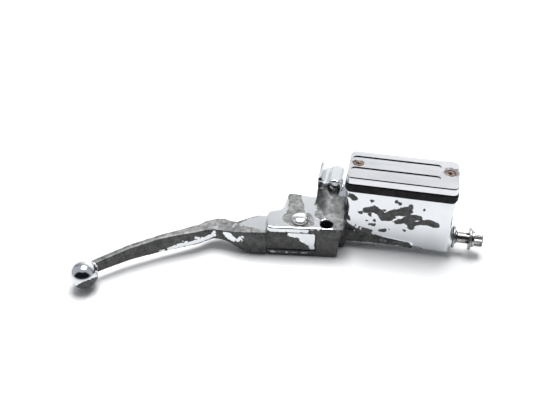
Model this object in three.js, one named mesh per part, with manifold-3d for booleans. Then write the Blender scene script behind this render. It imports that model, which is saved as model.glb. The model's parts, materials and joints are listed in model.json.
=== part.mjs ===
// Front brake master cylinder for a motorcycle handlebar: one casting that carries the fluid
// reservoir, the cylinder barrel, the lever fork, the mirror boss and half of the bar clamp.
// Units are millimetres. The origin is the centre of the handlebar in its clamp.
// +X runs along the bar and the cylinder towards the hose, +Y towards the rider, +Z up.
import * as THREE from 'three';
import Module from 'manifold-3d';
import { mergeVertices } from 'three/addons/utils/BufferGeometryUtils.js';

const wasm = await Module();
wasm.setup();

// ---------------------------------------------------------------- clearances
const GAP = 0.3;
const RUN = 0.15;
const FINE = 40;
const COARSE = 28;

// ---------------------------------------------------------------- handlebar clamp
const barRadius = 11.1;
const saddleLeft = -11.8;
const saddleRight = 6.4;
const splitY = -0.5;
const saddleFrontY = -22;
const clampSpacing = 31;
const clampHoleR = 3.3;
const clampSinkR = 4.3;
const clampSinkDepth = 8.4;
const lugR = 6.3;
const ribHeight = 8;
const ribWidth = 2.4;
const neckRise = 10.6;
const neckSweep = 5.5;

// ---------------------------------------------------------------- cylinder barrel
const boreY = -28;
const boreZ = -8.8;
const boreR = 5.5;
const barrelEndPastTank = 2;
const hosePortDepth = 20.6;
const portThreadR = 5;
const boreMouthX = -7.2;
const slimBarrelWall = 1.6;
const slimBarrelEndX = 60;
const webRootR = 7.5;
const webTipR = 4.6;
const webY = -32.4;
const webZ = -13.9;
const webSlope = 0.02;
const bootSeatDepth = 4.2;
const stopSeatDepth = 2.6;
const clipThickness = 1;
const stopThickness = 0.8;

// ---------------------------------------------------------------- lever fork
const forkHeight = 25.4;
const earThickness = 4.4;
const forkChamfer = 0.8;
const pivotX = -19.6;
const pivotY = -47;
const forkReach = 24.4;
const forkRightX = 9;
const forkBackY = -17;
const slotBackY = -20.6;
const slotEndX = boreMouthX;
const pivotShankR = 4;
const pivotHeadR = 6.1;
const pivotHeadRim = 1.3;
const pivotHeadRise = 2.4;
const nutAcross = 10;
const nutHeight = 2.6;
const nutPocketR = 6.4;

// ---------------------------------------------------------------- mirror boss
const mirrorX = -0.9;
const mirrorY = -47.2;
const mirrorHoleR = 4.4;
const mirrorDepth = 19;

// ---------------------------------------------------------------- reservoir and cover
const tankX = 9.6;
const tankLength = 75;
const tankMidY = -20.2;
const tankDepth = 32.4;
const tankCorner = 3.2;
const tankTopZ = 26.6;
const tankFloorZ = 4.2;
const tankWall = 3;
const barClearance = 1.5;
const skirtBottomZ = -18.2;
const skirtDepth = 9;
const coverHeight = 5.9;
const coverChamfer = 0.6;
const coverOverhang = 0.2;
const rimHeight = 6;
const rimOverhang = 0.8;
const rimLineHeight = 1.3;
const screwInset = 6.1;
const screwShift = 1.6;
const screwHeadR = 3.7;
const screwHeadHeight = 2.4;
const screwShankR = 2.4;
const screwLength = 21;
const screwBossR = 4.6;
const grooveOffset = 6.7;
const grooveShift = 1.1;
const grooveWidth = 5.2;
const grooveDepth = 0.7;
const grooveEndInset = 14.7;
const grooveStartInset = 1.9;
const panWall = 1.2;
const panDrop = 9;
const plateWall = 1.2;
const panInset = 7.6;
const sightX = 47;
const sightZ = 19.7;
const sightR = 5.9;

// ---------------------------------------------------------------- brake lever
const bushWall = 1;
const noseR = 6;
const noseOffsetX = -0.6;
const heelR = 11.9;
const ballR = 9.5;
const ballX = -155.4;
const ballY = -114.2;
const ballZ = -11.2;

// ---------------------------------------------------------------- banjo bolt and washers
const washerR = 8;
const washerThickness = 1.5;
const banjoGap = 9.9;
const banjoNeckR = 3.85;
const banjoThreadLength = 13.5;
const banjoFlangeR = 5.9;
const banjoFlangeHeight = 1.7;
const banjoHeadR = 5.3;
const banjoHeadHeight = 6;
const banjoFlutes = 8;
const fluteR = 1.5;
const banjoCrossR = 1.3;
const banjoCoreR = 1.9;

// ---------------------------------------------------------------- piston train
const rodR = 3.1;
const landR = boreR - RUN;
const waistR = 2.9;
const rearLandLength = 3;
const waistLength = 13;
const frontLandLength = 2;
const noseLength = 5.2;
const noseStubR = 2;
const cupLength = 3.2;
const springWireR = 0.6;
const springCoilR = 3.9;
const springTurns = 7;

// ---------------------------------------------------------------- derived places
const barrelEndX = tankX + tankLength + barrelEndPastTank;
const boreEndX = barrelEndX - hosePortDepth;
const barrelR = boreR + 2.8;
const bootSeatR = boreR + 2.7;
const stopSeatR = boreR + 0.6;
const clipGrooveR = boreR + 1.4;
const leverHeight = forkHeight - 2 * earThickness - 2 * GAP;
const leverBushR = pivotShankR + GAP + bushWall;
const forkTopZ = boreZ + forkHeight / 2;
const forkBottomZ = boreZ - forkHeight / 2;
const slotTopZ = forkTopZ - earThickness;
const slotBottomZ = forkBottomZ + earThickness;
const tankMidX = tankX + tankLength / 2;
const tankFrontY = tankMidY - tankDepth / 2;
const tankBackY = tankMidY + tankDepth / 2;
const coverBottomZ = tankTopZ + rimHeight;
const coverTopZ = coverBottomZ + coverHeight;
const lugZ = [clampSpacing / 2, -clampSpacing / 2];
const reliefY = -(barRadius + barClearance);
const reliefZ = barRadius + barClearance;
const screwY = tankMidY + screwShift;
const screwXs = [tankX + screwInset, tankX + tankLength - screwInset];
const noseX = pivotX + noseOffsetX;
const rodEndX = noseX + noseR + GAP;
const rearLandX = boreMouthX + bootSeatDepth + stopSeatDepth + GAP;
const waistX = rearLandX + rearLandLength;
const frontLandX = waistX + waistLength;
const pistonNoseX = frontLandX + frontLandLength;
const springStartX = pistonNoseX + cupLength + 2 * GAP + 1.4;
const washerInnerX = barrelEndX + GAP;
const washerOuterX = washerInnerX + washerThickness + banjoGap;
const banjoFlangeX = washerOuterX + washerThickness + GAP;

// ---------------------------------------------------------------- geometry helpers
function solidOf(geometry) {
  geometry.deleteAttribute('normal');
  geometry.deleteAttribute('uv');
  const merged = mergeVertices(geometry, 1e-5);
  const vertProperties = new Float32Array(merged.attributes.position.array);
  const triVerts = new Uint32Array(merged.index.array);
  return new wasm.Manifold(new wasm.Mesh({ numProp: 3, vertProperties, triVerts }));
}

function shapeFrom(points) {
  return new THREE.Shape(points.map(([x, y]) => new THREE.Vector2(x, y)));
}

function roundedRect(x0, x1, y0, y1, r) {
  const s = new THREE.Shape();
  s.moveTo(x0 + r, y0);
  s.lineTo(x1 - r, y0);
  s.absarc(x1 - r, y0 + r, r, -Math.PI / 2, 0, false);
  s.lineTo(x1, y1 - r);
  s.absarc(x1 - r, y1 - r, r, 0, Math.PI / 2, false);
  s.lineTo(x0 + r, y1);
  s.absarc(x0 + r, y1 - r, r, Math.PI / 2, Math.PI, false);
  s.lineTo(x0, y0 + r);
  s.absarc(x0 + r, y0 + r, r, Math.PI, 1.5 * Math.PI, false);
  return s;
}

// A shape drawn in plan, standing from z0 to z1. Its edges are rounded if asked, or cut at 45
// degrees when there is one bevel segment.
function standing(shape, z0, z1, edge = 0, curveSegments = 8, bevelSegments = 3) {
  const g = new THREE.ExtrudeGeometry(shape, {
    depth: z1 - z0 - 2 * edge,
    bevelEnabled: edge > 0,
    bevelThickness: edge,
    bevelSize: edge,
    bevelOffset: -edge,
    bevelSegments,
    curveSegments,
  });
  g.translate(0, 0, z0 + edge);
  return solidOf(g);
}

// A shape drawn in (X, Z), reaching from y0 to y1.
function reachingY(shape, y0, y1, curveSegments = 8) {
  const g = new THREE.ExtrudeGeometry(shape, { depth: y1 - y0, bevelEnabled: false, curveSegments });
  g.rotateX(Math.PI / 2);
  g.translate(0, y1, 0);
  return solidOf(g);
}

// A shape drawn in (Y, Z), reaching from x0 to x1.
function reachingX(shape, x0, x1, curveSegments = 8) {
  const g = new THREE.ExtrudeGeometry(shape, { depth: x1 - x0, bevelEnabled: false, curveSegments });
  g.rotateX(Math.PI / 2);
  g.rotateZ(Math.PI / 2);
  g.translate(x0, 0, 0);
  return solidOf(g);
}

function box(x0, x1, y0, y1, z0, z1) {
  const g = new THREE.BoxGeometry(x1 - x0, y1 - y0, z1 - z0);
  g.translate((x0 + x1) / 2, (y0 + y1) / 2, (z0 + z1) / 2);
  return solidOf(g);
}

function rodZ(x, y, r, z0, z1, segments = FINE) {
  const g = new THREE.CylinderGeometry(r, r, z1 - z0, segments);
  g.rotateX(Math.PI / 2);
  g.translate(x, y, (z0 + z1) / 2);
  return solidOf(g);
}

function rodY(x, z, r, y0, y1, segments = FINE) {
  const g = new THREE.CylinderGeometry(r, r, y1 - y0, segments);
  g.translate(x, (y0 + y1) / 2, z);
  return solidOf(g);
}

function rodX(r, x0, x1, segments = FINE, y = boreY, z = boreZ) {
  return coneX(r, r, x0, x1, segments, y, z);
}

function coneX(r0, r1, x0, x1, segments = FINE, y = boreY, z = boreZ) {
  const g = new THREE.CylinderGeometry(r1, r0, x1 - x0, segments);
  g.rotateZ(-Math.PI / 2);
  g.translate((x0 + x1) / 2, y, z);
  return solidOf(g);
}

// A cone along X whose axis sinks by `slope` for each millimetre along it.
function taperX(r0, r1, x0, x1, y, z, slope) {
  const g = new THREE.CylinderGeometry(r1, r0, x1 - x0, FINE);
  g.rotateZ(-Math.PI / 2);
  g.applyMatrix4(new THREE.Matrix4().makeShear(0, -slope, 0, 0, 0, 0));
  g.translate((x0 + x1) / 2, y, z - (slope * (x1 - x0)) / 2);
  return solidOf(g);
}

// A closed lathe profile of [radius, height] pairs, put in the order that faces outwards.
function lathed(profile, segments) {
  const points = profile.map(([r, h]) => new THREE.Vector2(r, h));
  if (THREE.ShapeUtils.area(points) < 0) points.reverse();
  points.push(points[0].clone());
  return new THREE.LatheGeometry(points, segments);
}

// A piece turned about the cylinder axis; its profile lists [radius, x].
function turnedX(profile, segments = FINE) {
  const g = lathed(profile, segments);
  g.rotateZ(-Math.PI / 2);
  g.translate(0, boreY, boreZ);
  return solidOf(g);
}

function turnedZ(profile, x, y, segments = FINE) {
  const g = lathed(profile, segments);
  g.rotateX(Math.PI / 2);
  g.translate(x, y, 0);
  return solidOf(g);
}

function turnedY(profile, x, z, segments = FINE) {
  const g = lathed(profile, segments);
  g.translate(x, 0, z);
  return solidOf(g);
}

function joined(...solids) {
  return solids.reduce((sum, next) => sum.add(next));
}

function cutBy(solid, ...tools) {
  return tools.reduce((left, tool) => left.subtract(tool), solid);
}

// ---------------------------------------------------------------- finishes
const finish = {
  chrome: { color: 0xd9dbdd, roughness: 0.16, metalness: 1 },
  brushed: { color: 0xc9cccf, roughness: 0.34, metalness: 1 },
  casting: { color: 0x77797c, roughness: 0.62, metalness: 0.8 },
  zinc: { color: 0x9c9688, roughness: 0.45, metalness: 0.9 },
  rust: { color: 0x6a4a35, roughness: 0.7, metalness: 0.6 },
  rubber: { color: 0x17181a, roughness: 0.72, metalness: 0 },
  copper: { color: 0xb9b2a6, roughness: 0.4, metalness: 0.9 },
  plastic: { color: 0xd8d4c8, roughness: 0.5, metalness: 0 },
  glass: { color: 0xdfe6e2, roughness: 0.08, metalness: 0 },
  bronze: { color: 0x9a7440, roughness: 0.45, metalness: 0.9 },
};

const assembly = new THREE.Group();
assembly.name = 'brake_master_cylinder';

function addPart(name, solid, look) {
  const mesh = solid.getMesh();
  const geometry = new THREE.BufferGeometry();
  geometry.setAttribute('position', new THREE.BufferAttribute(new Float32Array(mesh.vertProperties), 3));
  geometry.setIndex(new THREE.BufferAttribute(new Uint32Array(mesh.triVerts), 1));
  geometry.computeVertexNormals();
  const part = new THREE.Mesh(geometry, new THREE.MeshStandardMaterial(finish[look]));
  part.name = name;
  assembly.add(part);
}

// ---------------------------------------------------------------- the fork, in plan
// The fork's front face runs a little outwards to the left; its left end is an arc about the
// pivot, so the lever's thick root can swing past it.
const frontLeft = [-40.2, -58.8];
const frontRight = [8.2, -52.2];

function forkPlan(shrink = 0) {
  const s = new THREE.Shape();
  const start = Math.atan2(frontLeft[1] - pivotY, frontLeft[0] - pivotX);
  const end = -Math.PI - 0.28;
  s.moveTo(frontRight[0], frontRight[1]);
  s.lineTo(frontLeft[0] + 1.8, frontLeft[1] + 0.25);
  const steps = 12;
  for (let i = 1; i <= steps; i += 1) {
    const a = start + (end - start) * (i / steps);
    s.lineTo(pivotX + forkReach * Math.cos(a), pivotY + forkReach * Math.sin(a));
  }
  s.lineTo(-39.4, -38.4);
  s.lineTo(-35.6, -36.6);
  s.lineTo(-34.2, -32.6);
  s.lineTo(-33.2, forkBackY - 1.5);
  s.lineTo(-32, forkBackY);
  s.lineTo(forkRightX, forkBackY);
  s.lineTo(forkRightX + 2.6, forkBackY - 2);
  s.lineTo(forkRightX + 2.6, frontRight[1] + 3.4);
  s.lineTo(forkRightX + 1.4, frontRight[1] + 1);
  return s;
}

// The neck's top: level with the fork in front, rising to the clamp behind, later on the left
// than behind the mirror hole, and with a hollow sweep where it meets the tank.
function neckHeight(x, y) {
  const left = THREE.MathUtils.clamp((-3 - x) / 7, 0, 1);
  const footY = THREE.MathUtils.lerp(mirrorY + mirrorHoleR + 1.2, forkBackY - 11, left);
  const t = THREE.MathUtils.clamp((y - footY) / (saddleFrontY + 1.6 - footY), 0, 1);
  const sweep = THREE.MathUtils.smoothstep(x, -3, tankX + 1);
  return forkTopZ - 0.3 + neckRise * t ** 1.15 + neckSweep * sweep * t;
}

function makeNeck() {
  const x0 = saddleLeft;
  const x1 = tankX + 1;
  const y0 = mirrorY + mirrorHoleR + 0.6;
  const y1 = saddleFrontY + 4;
  const z0 = forkTopZ - 5;
  const g = new THREE.BoxGeometry(x1 - x0, y1 - y0, 1, 14, 16, 1);
  g.translate((x0 + x1) / 2, (y0 + y1) / 2, 0);
  const p = g.attributes.position;
  for (let i = 0; i < p.count; i += 1) {
    p.setZ(i, p.getZ(i) > 0 ? neckHeight(p.getX(i), p.getY(i)) : z0);
  }
  return solidOf(g);
}

// ---------------------------------------------------------------- the casting
function makeBody() {
  const fork = standing(forkPlan(), forkBottomZ, forkTopZ, forkChamfer, 6, 1);

  const tankPlan = roundedRect(tankX, tankX + tankLength, tankFrontY, tankBackY, tankCorner);
  const tank = standing(tankPlan, -3, tankTopZ, 0, 6);
  const skirtShape = roundedRect(
    tankX, tankX + tankLength + 0.6, tankFrontY, tankFrontY + skirtDepth + 8, 2.4,
  );
  const skirt = standing(skirtShape, skirtBottomZ, 6, 1.6, 6);

  // The barrel is slim along the hollow and full size at the hose end. Below it a tapering web
  // runs from the fork's root along the bottom of the wall.
  const slimBarrel = rodX(boreR + slimBarrelWall, 2, slimBarrelEndX + 4);
  const barrel = joined(slimBarrel, rodX(barrelR, slimBarrelEndX, barrelEndX));
  const web = taperX(webRootR, webTipR, 6, slimBarrelEndX, webY, webZ, webSlope);

  // The neck climbs from the top of the fork to the bar clamp, and sweeps up to the tank wall.
  const neck = makeNeck();
  const neckRoot = box(
    saddleLeft, tankX + 1, forkBackY - 2, saddleFrontY + 12, forkBottomZ + 2, forkTopZ + 6,
  );

  // The saddle: a thick half ring with one lug above the bar and one below.
  const upperZ = lugZ[0];
  const lowerZ = lugZ[1];
  const saddle = new THREE.Shape();
  saddle.moveTo(saddleLeft, lowerZ + 0.5);
  saddle.lineTo(-lugR, lowerZ);
  saddle.absarc(0, lowerZ, lugR, Math.PI, 2 * Math.PI, false);
  saddle.lineTo(saddleRight, lowerZ + 1);
  saddle.lineTo(saddleRight, upperZ);
  saddle.lineTo(lugR, upperZ);
  saddle.absarc(0, upperZ, lugR, 0, 0.8 * Math.PI, false);
  saddle.lineTo(saddleLeft + ribWidth + 2, upperZ + 3.3);
  saddle.lineTo(saddleLeft + ribWidth, upperZ + ribHeight - 1.4);
  saddle.lineTo(saddleLeft + ribWidth - 0.8, upperZ + ribHeight);
  saddle.lineTo(saddleLeft + 0.5, upperZ + ribHeight);
  saddle.lineTo(saddleLeft, upperZ + ribHeight - 0.6);
  const saddleBlock = reachingY(saddle, saddleFrontY + 1.6, splitY, 12);

  let body = joined(fork, tank, skirt, barrel, web, neck, neckRoot, saddleBlock);

  // The bar's half bore, the relief under the tank for the bar, and the gap beside the clamp.
  const barBore = rodX(barRadius + RUN, -60, 60, 64, 0, 0);
  const barRelief = box(saddleRight, barrelEndX + 5, reliefY, 20, -60, reliefZ);
  const barClear = box(saddleRight, tankX - 0.01, reliefY - 0.4, 2, -22, 30);
  const barClearLeft = box(-60, saddleLeft, -16.9, 2, -40, 40);
  body = cutBy(body, barBore, barClearLeft, barClear, barRelief);
  body = cutBy(body, box(-60, tankX + 0.2, splitY, 6, -60, 60));

  // The upper lug's front edge is broken.
  const bossTop = lugZ[0] + lugR;
  const bossFront = saddleFrontY + 1.6;
  const bossBevel = shapeFrom([
    [bossFront - 1, bossTop - 1.2],
    [bossFront, bossTop - 1.2],
    [bossFront + 1.4, bossTop + 0.2],
    [bossFront + 1.4, bossTop + 8],
    [bossFront - 1, bossTop + 8],
  ]);
  body = cutBy(body, reachingX(bossBevel, saddleLeft - 2, saddleRight + 1));

  // Clamp screw holes with a sunk seat on the front side.
  for (const z of lugZ) {
    body = cutBy(body, rodY(0, z, clampHoleR, -40, 5, COARSE));
    body = cutBy(body, rodY(0, z, clampSinkR, -40, saddleFrontY + clampSinkDepth, COARSE));
  }

  // The lever slot, open to the front and to the left.
  const slotPlan = shapeFrom([
    [slotEndX, -80],
    [slotEndX, slotBackY],
    [-33, slotBackY],
    [-70, slotBackY],
    [-70, -80],
  ]);
  body = cutBy(body, standing(slotPlan, slotBottomZ, slotTopZ));

  // The fork's right end leans back below its top corner.
  const leanCut = shapeFrom([
    [forkRightX + 4, forkTopZ - 1.4],
    [forkRightX + 2.2, forkTopZ - 3],
    [forkRightX + 0.2, forkTopZ - 8],
    [forkRightX - 1.2, forkBottomZ - 1],
    [forkRightX + 4, forkBottomZ - 1],
  ]);
  body = cutBy(body, reachingY(leanCut, -70, boreY - barrelR - 4.7));

  // Pivot hole and the pocket for the thin nut.
  body = cutBy(body, rodZ(pivotX, pivotY, pivotShankR + RUN, -60, 60));
  body = cutBy(body, rodZ(pivotX, pivotY, nutPocketR, -60, forkBottomZ + nutHeight + GAP));

  // Blind threaded hole for the mirror.
  body = cutBy(body, rodZ(mirrorX, mirrorY, mirrorHoleR, forkTopZ - mirrorDepth, 40));
  body = cutBy(body, coneZ(mirrorHoleR, mirrorHoleR + 0.7, mirrorX, mirrorY, forkTopZ - 0.6, forkTopZ + 0.1));

  // Reservoir chamber, leaving a post at each end for the cover screws.
  const chamberPlan = roundedRect(
    tankX + tankWall, tankX + tankLength - tankWall,
    tankFrontY + tankWall, tankBackY - tankWall, tankCorner - 1,
  );
  const deepPlan = roundedRect(
    tankX + tankWall, tankX + tankLength - tankWall,
    tankFrontY + tankWall, reliefY - tankWall, tankCorner - 1,
  );
  let chamber = joined(
    standing(chamberPlan, reliefZ + tankWall, 60, 0, 5),
    standing(deepPlan, tankFloorZ, 60, 0, 5),
  );
  for (const x of screwXs) {
    const outer = x < tankMidX ? [tankX, x] : [x, tankX + tankLength];
    const post = joined(
      rodZ(x, screwY, screwBossR, -10, 70, COARSE),
      box(outer[0], outer[1], screwY - screwBossR, screwY + screwBossR, -10, 70),
    );
    chamber = chamber.subtract(post);
  }
  body = cutBy(body, chamber);
  for (const x of screwXs) {
    const tapBottom = coverTopZ - screwHeadHeight - screwLength - 1.5;
    body = cutBy(body, rodZ(x, screwY, screwShankR + RUN, tapBottom, 60, 24));
  }

  // The cylinder bore with its seats, the hose port and the two fluid ports.
  const seatX = boreMouthX + bootSeatDepth;
  const stopX = seatX + stopSeatDepth;
  body = cutBy(body, rodX(boreR, boreMouthX - 1, boreEndX));
  body = cutBy(body, rodX(bootSeatR, boreMouthX - 1, seatX));
  body = cutBy(body, rodX(stopSeatR, boreMouthX, stopX));
  body = cutBy(body, rodX(clipGrooveR, seatX + 0.3, seatX + 0.3 + clipThickness + 0.2));
  body = cutBy(body, rodX(portThreadR + RUN, boreEndX + 2, barrelEndX + 1));
  body = cutBy(body, rodX(2, boreEndX - 1, boreEndX + 4, 24));
  body = cutBy(body, rodZ(waistX + waistLength / 2 + 6, boreY, 1.6, boreZ, tankFloorZ + 2, 20));
  body = cutBy(body, rodZ(pistonNoseX + 8, boreY, 0.9, boreZ, tankFloorZ + 2, 16));

  // The slanting hollow below the tank wall, where the barrel shows.
  const hollow = shapeFrom([
    [tankX - 6, -1.2],
    [tankX + 0.6, -1.9],
    [tankX + 8.6, -8.4],
    [tankX + 30, -12.2],
    [tankX + 56.5, -16.4],
    [tankX + 56.5, -24],
    [tankX - 6, -24],
  ]);
  const hollowCut = reachingY(hollow, -60, tankFrontY + 3.2);
  const keep = joined(
    standing(forkPlan(), forkBottomZ - 1, forkTopZ + 1, 0, 6),
    slimBarrel,
    web,
  );
  body = cutBy(body, hollowCut.subtract(keep));

  // Sight glass window in the wall that faces the rider.
  body = cutBy(body, rodY(sightX, sightZ, sightR, tankBackY - tankWall - 1, tankBackY + 2));
  return body;
}

function coneZ(r0, r1, x, y, z0, z1, segments = FINE) {
  const g = new THREE.CylinderGeometry(r1, r0, z1 - z0, segments);
  g.rotateX(Math.PI / 2);
  g.translate(x, y, (z0 + z1) / 2);
  return solidOf(g);
}

addPart('cylinder_body', makeBody(), 'casting');

// ---------------------------------------------------------------- reservoir lid
function makeCover() {
  const plan = roundedRect(
    tankX - coverOverhang, tankX + tankLength + coverOverhang,
    tankFrontY - coverOverhang, tankBackY + coverOverhang, tankCorner + 0.6,
  );
  let cover = standing(plan, coverBottomZ + GAP / 2, coverTopZ, coverChamfer, 8, 1);
  const grooveX0 = tankX + grooveStartInset + grooveWidth / 2;
  const grooveX1 = tankX + tankLength - grooveEndInset;
  for (const side of [-1, 1]) {
    const y = tankMidY + grooveShift + side * grooveOffset;
    const r = grooveWidth / 2;
    const groove = roundedRect(grooveX0 - r, grooveX1 + r, y - r, y + r, r - 0.001);
    cover = cutBy(cover, standing(groove, coverTopZ - grooveDepth, coverTopZ + 2, 0, 8));
  }
  const hollow = roundedRect(
    screwXs[0] + screwBossR + 1, screwXs[1] - screwBossR - 1,
    tankFrontY + tankWall + 1.5, tankBackY - tankWall - 1.5, 2,
  );
  cover = cutBy(cover, standing(hollow, coverBottomZ - 1, coverTopZ - 3, 0, 5));
  for (const x of screwXs) {
    cover = cutBy(cover, rodZ(x, screwY, screwShankR + GAP, coverBottomZ - 1, coverTopZ + 1, 24));
    const sinkZ = coverTopZ - 0.8;
    cover = cutBy(cover, coneZ(
      screwShankR + GAP, screwHeadR + GAP, x, screwY,
      coverTopZ - screwHeadHeight - 0.45, sinkZ, 32,
    ));
    cover = cutBy(cover, rodZ(x, screwY, screwHeadR + GAP, sinkZ - 0.01, coverTopZ + 1, 32));
  }
  return cover;
}
addPart('reservoir_cover', makeCover(), 'brushed');

function makeCoverScrew(x) {
  const top = coverTopZ - 0.15;
  const bottom = top - screwHeadHeight - screwLength;
  let screw = turnedZ([
    [0, bottom],
    [screwShankR - 0.8, bottom],
    [screwShankR, bottom + 0.8],
    [screwShankR, top - screwHeadHeight],
    [screwHeadR, top - 0.5],
    [screwHeadR, top - 0.2],
    [screwHeadR - 0.5, top],
    [0, top],
  ], x, screwY, 32);
  const slots = joined(
    box(x - 2.1, x + 2.1, screwY - 0.45, screwY + 0.45, top - 1.5, top + 1),
    box(x - 0.45, x + 0.45, screwY - 2.1, screwY + 2.1, top - 1.5, top + 1),
  );
  return cutBy(screw, slots);
}
addPart('cover_screw_left', makeCoverScrew(screwXs[0]), 'rust');
addPart('cover_screw_right', makeCoverScrew(screwXs[1]), 'rust');

// ---------------------------------------------------------------- rubber diaphragm and its plate
const panX0 = tankX + panInset + screwBossR;
const panX1 = tankX + tankLength - panInset - screwBossR;
const panY0 = tankFrontY + tankWall + 1.4;
const panY1 = tankBackY - tankWall - 1.4;

function makeDiaphragm() {
  const z0 = tankTopZ + GAP / 2;
  const z1 = coverBottomZ - GAP / 2;
  const rim = (grow) => roundedRect(
    tankX - grow, tankX + tankLength + grow, tankFrontY - grow, tankBackY + grow, tankCorner + 0.8,
  );
  let solid = joined(
    standing(rim(rimOverhang - 0.5), z0, z0 + rimLineHeight + 0.1, 0, 6),
    standing(rim(rimOverhang), z0 + rimLineHeight, z1, 0.5, 6),
  );
  const outer = roundedRect(panX0, panX1, panY0, panY1, 3);
  const inner = roundedRect(
    panX0 + panWall, panX1 - panWall, panY0 + panWall, panY1 - panWall, 2,
  );
  solid = joined(solid, standing(outer, z0 - panDrop, z0 + 1, 0, 6));
  solid = cutBy(solid, standing(inner, z0 - panDrop + panWall, z1 + 2, 0, 6));
  for (const x of screwXs) {
    solid = cutBy(solid, rodZ(x, screwY, screwShankR + GAP, z0 - 1, z1 + 1, 24));
  }
  return solid;
}
addPart('diaphragm', makeDiaphragm(), 'rubber');

function makePlate() {
  const c = panWall + GAP;
  const z0 = tankTopZ - panDrop + panWall + 2;
  const z1 = coverBottomZ - GAP;
  const outer = roundedRect(panX0 + c, panX1 - c, panY0 + c, panY1 - c, 1.8);
  const w = c + plateWall;
  const inner = roundedRect(panX0 + w, panX1 - w, panY0 + w, panY1 - w, 1);
  const plate = standing(outer, z0, z1, 0, 5);
  return cutBy(plate, standing(inner, z0 + plateWall, z1 + 2, 0, 5));
}
addPart('diaphragm_plate', makePlate(), 'plastic');

// ---------------------------------------------------------------- port baffle on the tank floor
function makeBaffle() {
  const x = Math.max(screwXs[0] + screwBossR + 9.4, pistonNoseX + 9);
  const z = tankFloorZ + GAP / 2;
  const plan = roundedRect(x - 8, x + 8, boreY - 4.4, boreY + 6, 1.5);
  const under = roundedRect(x - 7, x + 7, boreY - 8, boreY + 8, 1);
  return cutBy(standing(plan, z, z + 2.2, 0, 5), standing(under, z - 1, z + 1.3, 0, 5));
}
addPart('port_baffle', makeBaffle(), 'zinc');

// ---------------------------------------------------------------- sight glass
const glassR = sightR - 1.6;
addPart('sight_glass_ring', turnedY([
  [glassR + RUN, tankBackY - 2],
  [sightR - RUN, tankBackY - 2],
  [sightR - RUN, tankBackY + 0.6],
  [sightR - 0.6, tankBackY + 1.1],
  [glassR + 0.5, tankBackY + 1.1],
  [glassR + RUN, tankBackY + 0.7],
], sightX, sightZ), 'chrome');
addPart('sight_glass', turnedY([
  [0, tankBackY - 1.8],
  [glassR, tankBackY - 1.8],
  [glassR, tankBackY + 0.2],
  [glassR - 0.6, tankBackY + 0.5],
  [0, tankBackY + 0.5],
], sightX, sightZ), 'glass');

// ---------------------------------------------------------------- brake lever
// Plan outline of the lever, front edge first and then back along the rider's side.
const leverFront = [
  [-152, -110.5], [-147.4, -105.4], [-131.4, -91.2], [-114, -78.8], [-100.6, -71.4], [-90.4, -66.1],
  [-84.6, -61.6], [-80, -59.2], [-75, -58.8], [-70, -59.5], [-64, -60.8], [-58, -61.2], [-50, -60.9],
];
const leverBack = [
  [-46.4, -40.2], [-54.7, -42.7], [-59.5, -46], [-64.3, -48.6], [-69.5, -47.6], [-74.7, -45.4],
  [-80.5, -46.6], [-87.2, -51.8], [-90.6, -56.6], [-100.8, -64.4], [-114.6, -73.6],
  [-133.8, -87.2], [-150.8, -102.2], [-156.4, -108],
];
// Upper and lower edge of the lever seen from the front: x, top, bottom.
const leverEdges = [
  [-160, -7.2, -14.8], [-149, -5.9, -14.6], [-131, -4, -14.6], [-114, -2.8, -15.3],
  [-98, -2.7, -15], [-88, -3.3, -14.8], [-80, -4.4, -13.4], [-74, -4.5, -13.6], [-68, -3.7, -14.7],
  [-60, -1.9, -18.4], [-53, -1.3, -20.2], [-40, -1.2, -20.4],
];

function leverOuter() {
  const plan = shapeFrom([...leverFront, [-38, -58.9], [-38, -38.4], ...leverBack]);
  const side = shapeFrom([
    ...leverEdges.map(([x, top]) => [x, top]),
    ...leverEdges.map(([x, top, bottom]) => [x, bottom]).reverse(),
  ]);
  const blade = standing(plan, -30, 10, 0).intersect(reachingY(side, -130, -20));
  return cutBy(blade, rodZ(pivotX, pivotY, forkReach + 2 * GAP, -40, 20, 96));
}

function makeLever() {
  const z0 = boreZ - leverHeight / 2;
  const z1 = boreZ + leverHeight / 2;
  const noseY = boreY;
  const inner = new THREE.Shape();
  const heelX = slotEndX - GAP;
  const faceY = (x) => frontLeft[1] + 0.7 + ((frontRight[1] - frontLeft[1]) * (x - frontLeft[0]))
    / (frontRight[0] - frontLeft[0]);
  inner.moveTo(-52, faceY(-44) - 1.4);
  inner.lineTo(-44, faceY(-44));
  inner.lineTo(heelX, faceY(heelX));
  inner.lineTo(heelX, pivotY - 0.5);
  inner.absarc(pivotX, pivotY, heelR, 0, 0.42 * Math.PI, false);
  inner.lineTo(noseX + noseR, noseY - 3);
  inner.absarc(noseX, noseY, noseR, -0.05 * Math.PI, 0.98 * Math.PI, false);
  inner.lineTo(-28.4, -37);
  inner.lineTo(-37, -38.6);
  inner.lineTo(-52, -41.6);
  let lever = joined(standing(inner, z0, z1, 0, 10), leverOuter());
  const ball = new THREE.SphereGeometry(ballR, 32, 22);
  ball.translate(ballX, ballY, ballZ);
  lever = joined(lever, solidOf(ball));
  return cutBy(lever, rodZ(pivotX, pivotY, leverBushR + RUN, -40, 20));
}
addPart('brake_lever', makeLever(), 'casting');

const bushZ0 = boreZ - leverHeight / 2 - 0.1;
const bushZ1 = boreZ + leverHeight / 2 + 0.1;
addPart('lever_bushing', turnedZ([
  [leverBushR - bushWall, bushZ0],
  [leverBushR, bushZ0],
  [leverBushR, bushZ1],
  [leverBushR - bushWall, bushZ1],
], pivotX, pivotY), 'bronze');

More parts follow.
